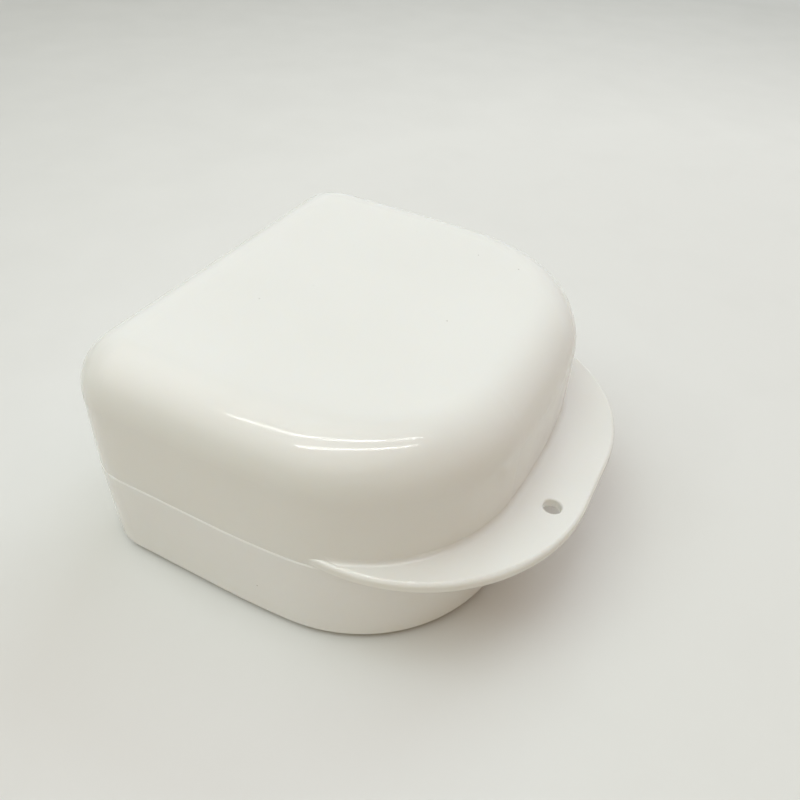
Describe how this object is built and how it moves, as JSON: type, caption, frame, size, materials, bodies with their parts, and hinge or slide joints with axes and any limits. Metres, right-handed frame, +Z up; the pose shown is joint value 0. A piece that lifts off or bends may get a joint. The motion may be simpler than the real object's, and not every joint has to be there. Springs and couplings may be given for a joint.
{
  "type": "denture case",
  "caption": "D-shaped plastic denture case: shallow tray, domed hinged lid with a crescent thumb lip and a small lanyard hole at the front.",
  "frame": {"origin": "on the table, under the middle of the closed case's bounding box, thumb lip and hinge included", "axes": "+Z up, +Y from the thumb lip at the front to the hinge at the back, +X to the right for someone who faces the lip"},
  "size_m": [0.076, 0.0842, 0.0405],
  "materials": {
    "tray_plastic": "white injection-moulded plastic, smooth and glossy",
    "lid_plastic": "white injection-moulded plastic, smooth and glossy"
  },
  "bodies": {
    "tray": {"base_tray": "tray_plastic"},
    "lid": {"hinged_lid": "lid_plastic"}
  },
  "joints": [
    {"name": "lid_hinge", "type": "hinge", "parent": "tray", "child": "lid", "pos_m": [0, 0.03918, 0.018], "axis": [-1, 0, 0], "range_deg": [0, 160]}
  ]
}
